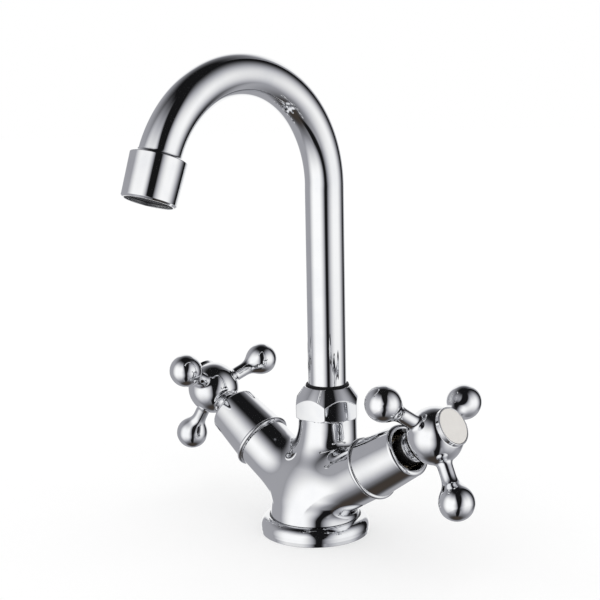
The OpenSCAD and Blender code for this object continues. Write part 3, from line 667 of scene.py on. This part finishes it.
# Node groups: each reads a vector and numbers, and puts out masks and heights that change over the surface
def newGroup(name, numbers, results):
    tree = bpy.data.node_groups.new(name, "ShaderNodeTree")
    tree.interface.new_socket(name="Vector", in_out="INPUT", socket_type="NodeSocketVector")
    for label, value in numbers.items():
        tree.interface.new_socket(name=label, in_out="INPUT", socket_type="NodeSocketFloat").default_value = value
    for label in results:
        tree.interface.new_socket(name=label, in_out="OUTPUT", socket_type="NodeSocketFloat")
    return tree, tree.nodes.new("NodeGroupInput").outputs, tree.nodes.new("NodeGroupOutput").inputs


polishMarks = {
    # Where noise turns into each mark, and two scales as shares of the clouds' scale
    "haze": (0.38, 0.72), "lines": (0.60, 0.74), "linePatches": (0.42, 0.66), "patchScale": 2.7, "swellScale": 1.6,
}


def makePolishGroup(look):
    # Haze: cloudy wipe marks. Lines: hairlines along the pattern's Z. Swell: the slow wave of a cast, buffed skin
    numbers = {"Cloud Scale": 60.0, "Line Scale": 900.0, "Line Length": 0.03}
    tree, inlet, out = newGroup("polishMarks", numbers, ("Haze", "Lines", "Swell"))
    vector, cloudScale, lineScale, lineLength = inlet[:4]
    tree.links.new(rampNode(tree, noiseNode(tree, vector, cloudScale, 4.0, 0.6), look["haze"]), out["Haze"])
    stretch = addNode(tree, "ShaderNodeCombineXYZ", {"X": 1.0, "Y": 1.0, "Z": lineLength}).outputs[0]
    drawn = addNode(tree, "ShaderNodeVectorMath", {0: vector, 1: stretch}, operation="MULTIPLY").outputs[0]
    fine = noiseNode(tree, drawn, lineScale, 2.0, 0.55)
    sparse = noiseNode(tree, vector, mathNode(tree, "MULTIPLY", cloudScale, look["patchScale"]), 1.0)
    lines = productNode(tree, rampNode(tree, fine, look["lines"]), rampNode(tree, sparse, look["linePatches"]))
    tree.links.new(lines, out["Lines"])
    swell = noiseNode(tree, vector, mathNode(tree, "MULTIPLY", cloudScale, look["swellScale"]), 1.0, 0.4)
    tree.links.new(swell, out["Swell"])
    return tree


gritMarks = {"mottle": (0.3, 0.7), "specks": (0.16, 0.05), "speckScale": 4.0}   # specks sit in the middle of cells


def makeGrainGroup(look):
    # Grain: fine even grit. Mottle: broad uneven tone. Specks: a few small darker dots
    numbers = {"Grain Scale": 2500.0, "Mottle Scale": 180.0}
    tree, inlet, out = newGroup("fineGrain", numbers, ("Grain", "Mottle", "Specks"))
    vector, grainScale, mottleScale = inlet[:3]
    tree.links.new(noiseNode(tree, vector, grainScale, 2.0), out["Grain"])
    tree.links.new(rampNode(tree, noiseNode(tree, vector, mottleScale, 3.0), look["mottle"]), out["Mottle"])
    cells = addNode(tree, "ShaderNodeTexVoronoi", {
        "Vector": vector, "Scale": mathNode(tree, "MULTIPLY", mottleScale, look["speckScale"])}).outputs["Distance"]
    tree.links.new(rampNode(tree, cells, look["specks"]), out["Specks"])
    return tree


latheMarks = {"jitterScale": 900.0, "tarnishScale": 260.0, "tarnish": (0.42, 0.75)}


def makeLatheGroup(look):
    # Rings: the spiral that a turning tool leaves, as a wave of the distance from the pattern's Z and along it
    tree, inlet, out = newGroup("latheMarks", {"Feed": 3500.0}, ("Rings", "Tarnish"))
    vector, feed = inlet[:2]
    x, y, z = addNode(tree, "ShaderNodeSeparateXYZ", {0: vector}).outputs[:3]
    away = mathNode(tree, "SQRT", mathNode(tree, "ADD", productNode(tree, x, x), productNode(tree, y, y)))
    phase = productNode(tree, mathNode(tree, "ADD", away, z), mathNode(tree, "MULTIPLY", feed, 2 * math.pi))
    wave = mathNode(tree, "MULTIPLY_ADD", mathNode(tree, "SINE", phase), 0.5, 0.5)
    tree.links.new(productNode(tree, wave, noiseNode(tree, vector, look["jitterScale"], 2.0)), out["Rings"])
    stain = noiseNode(tree, vector, look["tarnishScale"], 4.0, 0.65)
    tree.links.new(rampNode(tree, stain, look["tarnish"]), out["Tarnish"])
    return tree


polishGroup = makePolishGroup(polishMarks)
grainGroup = makeGrainGroup(gritMarks)
latheGroup = makeLatheGroup(latheMarks)


def startMaterial(name, place=None):
    # The pattern reads Object coordinates, and a Mapping node turns it so that its Z runs along the piece
    material = bpy.data.materials.new(name)
    material.use_nodes = True
    tree = material.node_tree
    coordinates = addNode(tree, "ShaderNodeTexCoord").outputs["Object"]
    mapping = addNode(tree, "ShaderNodeMapping", {"Vector": coordinates}, vector_type="TEXTURE")
    if place is not None:
        mapping.inputs["Location"].default_value = place["origin"].tolist()
        mapping.inputs["Rotation"].default_value = Matrix(place["turn"].tolist()).to_euler()
    return material, tree, tree.nodes["Principled BSDF"], mapping.outputs["Vector"]


def placeGroup(tree, group, values):
    return addNode(tree, "ShaderNodeGroup", values, node_tree=group).outputs


def linkShader(tree, shader, tint, rough, height, depth):
    bump = addNode(tree, "ShaderNodeBump", {"Height": height, "Distance": depth * mm, "Strength": 1.0})
    for label, output in (("Base Color", tint), ("Roughness", rough), ("Normal", bump.outputs["Normal"])):
        tree.links.new(output, shader.inputs[label])


chromeLook = {
    "clear": (0.875, 0.88, 0.89), "hazed": (0.82, 0.83, 0.85), "roughness": 0.018, "hazeAdds": 0.025,
    # The dark tone here is painted shade for the handle's end that goes into the sleeve, and the roughness added
    # there is a real rougher finish
    "lineAdds": 0.08, "lineDepth": -0.0006, "paintedShadeTone": (0.10, 0.098, 0.096), "dullRough": 0.3, "shadeAndDullEase": 0.4,
    # For each piece: the clouds' scale, the hairlines' scale and how far they are drawn out, and the swell in mm
    "casting": (42.0, 1300.0, 0.2, 0.012), "ring": (60.0, 1300.0, 1.0, 0.003), "nut": (90.0, 1500.0, 1.0, 0.002),
    "tube": (50.0, 1200.0, 0.03, 0.003), "nose": (80.0, 1200.0, 0.3, 0.002), "shroud": (70.0, 1200.0, 0.05, 0.003),
    "handle": (65.0, 1300.0, 0.4, 0.006), "cup": (110.0, 1500.0, 1.0, 0.002),
}


def chromeMaterial(name, place, kind, shadedAndDullBelow=None):
    look = chromeLook
    cloudScale, lineScale, lineLength, swell = look[kind]
    material, tree, shader, vector = startMaterial(name, place)
    marks = placeGroup(tree, polishGroup, {
        "Vector": vector, "Cloud Scale": cloudScale, "Line Scale": lineScale, "Line Length": lineLength})
    tint = mixNode(tree, marks["Haze"], look["clear"], look["hazed"])
    rough = mathNode(tree, "MULTIPLY_ADD", marks["Haze"], look["hazeAdds"], look["roughness"])
    rough = mathNode(tree, "MULTIPLY_ADD", marks["Lines"], look["lineAdds"], rough)
    if shadedAndDullBelow is not None:
        # Painted shade: the end that goes into the sleeve is darkened to a dark tone where shade falls between the
        # parts, and it is also made rougher
        along = addNode(tree, "ShaderNodeSeparateXYZ", {0: vector}).outputs["Z"]
        ends = (shadedAndDullBelow + look["shadeAndDullEase"]) * mm, (shadedAndDullBelow - look["shadeAndDullEase"]) * mm
        dull = rampNode(tree, along, ends)
        tint = mixNode(tree, dull, tint, look["paintedShadeTone"])
        rough = mathNode(tree, "MULTIPLY_ADD", dull, look["dullRough"], rough)
    shader.inputs["Metallic"].default_value = 1.0
    scratches = mathNode(tree, "MULTIPLY", marks["Lines"], look["lineDepth"])
    linkShader(tree, shader, tint, rough, mathNode(tree, "MULTIPLY_ADD", marks["Swell"], swell, scratches), 1.0)
    return material


metalLook = {
    "feed": 2600.0, "tarnishAdds": 0.18, "ringAdds": 0.1, "depth": 0.02,
    # For each metal: its bright tone, its dull tone and its roughness
    # The screen is steel, and its tones are darkened well below steel's own as painted shade inside the mouth
    "screen": ((0.24, 0.24, 0.25), (0.13, 0.13, 0.14), 0.25), "tail": ((0.78, 0.6, 0.32), (0.55, 0.38, 0.17), 0.2),
    "valve": ((0.34, 0.28, 0.19), (0.16, 0.13, 0.09), 0.3), "clip": ((0.6, 0.6, 0.61), (0.4, 0.4, 0.42), 0.25),
}


def turnedMetal(name, place, kind):
    bright, dull, roughness = metalLook[kind]
    material, tree, shader, vector = startMaterial(name, place)
    marks = placeGroup(tree, latheGroup, {"Vector": vector, "Feed": metalLook["feed"]})
    rough = mathNode(tree, "MULTIPLY_ADD", marks["Tarnish"], metalLook["tarnishAdds"], roughness)
    rough = mathNode(tree, "MULTIPLY_ADD", marks["Rings"], metalLook["ringAdds"], rough)
    shader.inputs["Metallic"].default_value = 1.0
    tint = mixNode(tree, marks["Tarnish"], bright, dull)
    linkShader(tree, shader, tint, rough, marks["Rings"], metalLook["depth"])
    return material


# For each grainy finish: pale and dark tones, roughness and what the grain adds to it, the grain's depth in mm,
# clear coat, how much the specks darken, and shine
grainyLook = {
    "enamel": ((0.87, 0.845, 0.81), (0.835, 0.81, 0.775), 0.34, 0.1, 0.004, 0.15, 0.0, 0.5),
    "ceramic": ((0.88, 0.87, 0.83), (0.82, 0.81, 0.77), 0.16, 0.1, 0.002, 0.3, 0.0, 0.5),
    "rubber": ((0.03, 0.03, 0.032), (0.014, 0.014, 0.015), 0.5, 0.25, 0.03, 0.0, 0.0, 0.5),
    "nylon": ((0.82, 0.81, 0.76), (0.74, 0.72, 0.66), 0.4, 0.2, 0.01, 0.0, 0.0, 0.5),
    "fibre": ((0.2, 0.17, 0.15), (0.12, 0.1, 0.09), 0.6, 0.3, 0.04, 0.0, 0.4, 0.5),
    "slip": ((0.010, 0.010, 0.011), (0.006, 0.006, 0.007), 0.42, 0.15, 0.01, 0.0, 0.0, 0.12),
    # The aerator's plastic is dark, and its tones are made darker still as painted shade inside the mouth
    "aerator": ((0.05, 0.05, 0.055), (0.03, 0.03, 0.035), 0.35, 0.15, 0.01, 0.0, 0.3, 0.25),
}


def grainyMaterial(name, place, kind):
    pale, dark, roughness, spread, depth, coat, specks, shine = grainyLook[kind]
    material, tree, shader, vector = startMaterial(name, place)
    marks = placeGroup(tree, grainGroup, {"Vector": vector})
    tone = mathNode(tree, "MULTIPLY_ADD", marks["Specks"], specks, marks["Mottle"])
    rough = mathNode(tree, "MULTIPLY_ADD", marks["Grain"], spread, roughness)
    shader.inputs["Coat Weight"].default_value = coat
    shader.inputs["Specular IOR Level"].default_value = shine
    linkShader(tree, shader, mixNode(tree, tone, pale, dark), rough, marks["Grain"], depth)
    return material


def dress(piece, material):
    piece.data.materials.clear()
    piece.data.materials.append(material)


dress(casting, chromeMaterial("chromeCasting", basePlace, "casting"))
dress(baseRing, chromeMaterial("chromeRing", basePlace, "ring"))
dress(nut, chromeMaterial("chromeNut", neckPlace, "nut"))
dress(tube, chromeMaterial("chromeTube", neckPlace, "tube"))
dress(nose, chromeMaterial("chromeNose", outlet, "nose"))
# The screen's dark steel tone is painted shade inside the mouth
screenSteelShaded = turnedMetal("screenSteelShaded", outlet, "screen")
dress(screen, screenSteelShaded)
dress(screenRim, screenSteelShaded)
dress(slipRing, grainyMaterial("slipPlastic", neckPlace, "slip"))
# The aerator's near-black tone is partly its plastic and partly painted shade inside the mouth
dress(nodes["aerator_body"], grainyMaterial("aeratorPlasticShaded", outlet, "aerator"))
dress(nodes["spout_tail"], turnedMetal("tailBrass", neckPlace, "tail"))
dress(nodes["thrust_washer"], grainyMaterial("thrustNylon", neckPlace, "nylon"))
rubber = grainyMaterial("rubberBlack", None, "rubber")
for nodeName in ("base_gasket", "spout_seals", "aerator_washer"):
    dress(nodes[nodeName], rubber)
print("fixed pieces and spout dressed")

# Both valves: their own pieces, the finishes of those, and the finishes of the imported parts inside
# Below this height the handle's tail gets painted shade, a dark tone, and more roughness
shadedAndDullBelow = handleShape["along"] + handleShape["neckFrom"] - chromeLook["shadeAndDullEase"]
for valve, place in valvePlaces.items():
    body = valve + "_valve"
    shroud = spunPiece(valve + "ShroudSkin", shroudCorners(shroudShape), place, around=192, stepDegrees=7.5)
    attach(shroud, "root")
    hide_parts(valve + "_shroud")
    hub = moved(place, handleShape["along"], handleShape["phases"][valve])
    handle = makePiece(valve + "HandleSkin", *handleSkin, hub)
    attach(handle, body)
    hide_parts(valve + "_handle")
    cup = turnedSolid(valve + "IndexCupSkin", cupCorners(indexShape), place)
    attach(cup, body)
    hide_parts(valve + "_index_cup")
    disc = turnedSolid(valve + "IndexDiscSkin", discCorners(indexShape), place)
    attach(disc, body)
    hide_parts(valve + "_index_disc")
    dress(shroud, chromeMaterial(valve + "ChromeShroud", place, "shroud"))
    dress(handle, chromeMaterial(valve + "ChromeHandle", place, "handle", shadedAndDullBelow))
    dress(cup, chromeMaterial(valve + "ChromeCup", place, "cup"))
    dress(disc, grainyMaterial(valve + "IndexEnamel", place, "enamel"))
    finishes = (
        (turnedMetal(valve + "Brass", place, "valve"), ("cartridge", "spindle")),
        (turnedMetal(valve + "Steel", place, "clip"), ("circlip", "handle_screw")),
        (grainyMaterial(valve + "Ceramic", place, "ceramic"), ("fixed_disc", "moving_disc")),
        (grainyMaterial(valve + "Fibre", place, "fibre"), ("bonnet_washer",)),
        (rubber, ("seat_seal", "spindle_seals")))
    for material, nodeEnds in finishes:
        for nodeEnd in nodeEnds:
            dress(nodes[valve + "_" + nodeEnd], material)
print("valves made,", len(bpy.data.materials), "materials set")


# Studio: what the chrome mirrors, the plain white that the camera sees, and even light for the rest.
# Directions are an azimuth in degrees, 0 towards the front and 90 towards the right, and a height in degrees.
# A pair gives where a patch starts to show and where it has its full level.
studioLook = {
    "boxA": {"left": (-78, -20), "right": (44.5, 11), "foot": (-78, -12), "top": (76, 16), "level": 1.11},
    "boxB": {"left": (55, 98), "right": (172, 119), "foot": (-79, -3), "top": (74, 5), "level": 1.05},
    # How the first box's right edge draws in, and how the second box's left edge leans
    "bowFrom": -18.0, "bowUp": 0.0028, "bowDown": 0.011, "leanFrom": -8.0, "lean": 0.38,
    # With an ease under 1 both edges beside the gap fade in fast, and they grow sharper with height by a share
    "gapEase": 0.5, "sharpen": 0.016,
    "back": {"middle": -140.0, "half": (37, 22), "top": (52, 24), "foot": (-34, -22), "level": 1.0},
    "side": {"right": (-30, -60), "top": (72, 20), "foot": (-76, -52), "level": 0.38},
    "table": {"middle": 45.0, "gap": (10, 20), "top": (-15, -38), "foot": (-90, -30), "level": 0.40},
    "floorTone": (0.055, 0.045, 0.038), "floorStart": (-62, -82), "dark": 0.009,
    "coolTint": (0.985, 0.99, 1.065), "tintFades": (0.25, 0.95), "plainLevel": 1.0,
}


def makeWorld(look):
    world = bpy.data.worlds.new("studio")
    bpy.context.scene.world = world
    world.use_nodes = True
    tree = world.node_tree
    tree.nodes.clear()
    add, calc, product, ramp = (partial(make, tree) for make in (addNode, mathNode, productNode, rampNode))
    direction = add("ShaderNodeTexCoord").outputs["Generated"]
    x, y, z = add("ShaderNodeSeparateXYZ", {0: direction}).outputs[:3]
    azimuth = product(calc("ARCTAN2", x, product(y, -1.0)), 180 / math.pi)
    height = product(calc("ARCSINE", z), 180 / math.pi)

    def tall(patch):
        return product(ramp(height, patch["foot"]), ramp(height, patch["top"]), patch["level"])

    def wayFrom(middle):
        # Degrees round from a middle azimuth, whichever way is the shorter
        return calc("ABSOLUTE", calc("WRAP", calc("SUBTRACT", azimuth, middle), 180.0, -180.0))

    def beside(value, ends):
        # An edge beside the gap, from where it starts to show
        away = product(calc("SUBTRACT", value, ends[0]), sharp)
        return calc("POWER", ramp(away, (0.0, ends[1] - ends[0])), look["gapEase"])

    # The bow is a parabola of the height on each side of its level, with two strengths
    offBow = calc("SUBTRACT", height, look["bowFrom"])
    above, below = calc("MAXIMUM", offBow, 0.0), calc("MINIMUM", offBow, 0.0)
    bow = calc("ADD", product(above, above, look["bowUp"]), product(below, below, look["bowDown"]))
    lean = product(calc("MAXIMUM", calc("SUBTRACT", height, look["leanFrom"]), 0.0), look["lean"])
    sharp = calc("MULTIPLY_ADD", calc("MAXIMUM", height, 0.0), look["sharpen"], 1.0)
    first, second, back, side, table = pick(look, "boxA boxB back side table")
    rightEdge = beside(calc("ADD", azimuth, bow), first["right"])
    leftEdge = beside(calc("SUBTRACT", azimuth, lean), second["left"])
    patches = (
        product(ramp(azimuth, first["left"]), rightEdge, tall(first)),
        product(leftEdge, ramp(azimuth, second["right"]), tall(second)),
        product(ramp(wayFrom(back["middle"]), back["half"]), tall(back)),
        product(ramp(azimuth, side["right"]), tall(side)),
        product(ramp(wayFrom(table["middle"]), table["gap"]), tall(table)))
    level = look["dark"]
    for patch in patches:
        level = calc("MAXIMUM", patch, level)
    tint = mixNode(tree, ramp(level, look["tintFades"]), look["coolTint"], (1, 1, 1))
    lit = add("ShaderNodeVectorMath", {0: tint, "Scale": level}, operation="SCALE").outputs[0]
    scenery = mixNode(tree, ramp(height, look["floorStart"]), lit, look["floorTone"])
    mirrored = add("ShaderNodeBackground", {"Color": scenery, "Strength": 1.0}).outputs[0]
    plain = add("ShaderNodeBackground", {"Color": (1, 1, 1, 1), "Strength": look["plainLevel"]}).outputs[0]
    path = add("ShaderNodeLightPath").outputs
    bouncing = calc("MAXIMUM", path["Is Glossy Ray"], path["Is Transmission Ray"])
    picked = add("ShaderNodeMixShader", {0: bouncing, 1: plain, 2: mirrored}).outputs[0]
    add("ShaderNodeOutputWorld", {"Surface": picked})


floorLook = {
    "rings": (0.05, 0.4, 1.6, 6.0), "around": 96, "pale": (0.55, 0.55, 0.55), "mottled": (0.54, 0.54, 0.54),
    "roughness": 0.9, "grainScale": 300.0, "mottleScale": 12.0, "cameraGlow": 0.47,
}


def makeFloor(look):
    # A pale round floor that adds to itself, for the camera alone, what it lacks to plain white
    around, rings = look["around"], np.array(look["rings"])
    turn = np.linspace(0, 2 * np.pi, around, endpoint=False)
    across = rings[:, None] * np.cos(turn)
    points = np.stack([across, rings[:, None] * np.sin(turn), np.zeros_like(across)], -1)
    faces = gridFaces(len(rings), around, False).tolist() + [list(range(around))]
    mesh = bpy.data.meshes.new("floor")
    mesh.from_pydata(points.reshape(-1, 3).tolist(), [], faces)
    floor = bpy.data.objects.new("floor", mesh)
    bpy.context.scene.collection.objects.link(floor)
    floor.visible_glossy = False
    material, tree, shader, vector = startMaterial("floorPale")
    marks = placeGroup(tree, grainGroup, {
        "Vector": vector, "Grain Scale": look["grainScale"], "Mottle Scale": look["mottleScale"]})
    tint = mixNode(tree, marks["Mottle"], look["pale"], look["mottled"])
    tree.links.new(tint, shader.inputs["Base Color"])
    shader.inputs["Roughness"].default_value = look["roughness"]
    shader.inputs["Specular IOR Level"].default_value = 0.0
    path = addNode(tree, "ShaderNodeLightPath").outputs
    seen = mathNode(tree, "MULTIPLY", path["Is Camera Ray"], look["cameraGlow"])
    glow = addNode(tree, "ShaderNodeEmission", {"Color": (1, 1, 1, 1), "Strength": seen}).outputs[0]
    both = addNode(tree, "ShaderNodeAddShader", {0: shader.outputs[0], 1: glow}).outputs[0]
    tree.links.new(both, tree.nodes["Material Output"].inputs["Surface"])
    dress(floor, material)


makeWorld(studioLook)
makeFloor(floorLook)
print("studio made")
